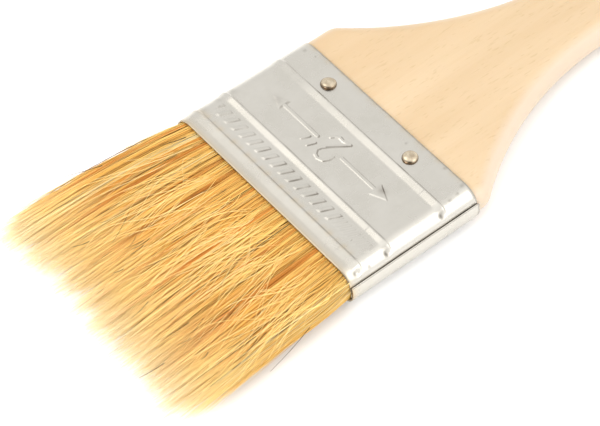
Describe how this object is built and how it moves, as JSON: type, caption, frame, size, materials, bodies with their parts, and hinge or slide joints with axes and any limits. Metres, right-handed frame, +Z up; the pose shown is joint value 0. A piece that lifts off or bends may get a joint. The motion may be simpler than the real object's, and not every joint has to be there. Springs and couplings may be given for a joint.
{
  "type": "paint brush",
  "caption": "Flat two-inch paint brush: waisted wooden handle with a hanging hole, lapped and beaded steel ferrule, free bank of blond bristle.",
  "frame": {"origin": "under the middle of the whole brush, at the level of the back nails' heads, on which it lies", "axes": "+X across the width towards the ferrule's lapped side, +Y along the length towards the hanging hole, +Z up through the thickness, out of the marked face"},
  "size_m": [0.0564, 0.2, 0.0094],
  "materials": {
    "handle_wood": "sanded, unvarnished, pale fine grain",
    "tinned_steel": "satin tin plate",
    "nail_brass": "dull brassed steel",
    "bristle": "natural blond hog bristle",
    "plug_wood": "raw",
    "cement": "set resin"
  },
  "bodies": {
    "root": {"handle": "handle_wood", "ferrule": "tinned_steel", "front_nails": "nail_brass", "back_nails": "nail_brass", "front_bristles": "bristle", "back_bristles": "bristle", "spacer_plug": "plug_wood", "setting_cement": "cement"}
  },
  "joints": []
}
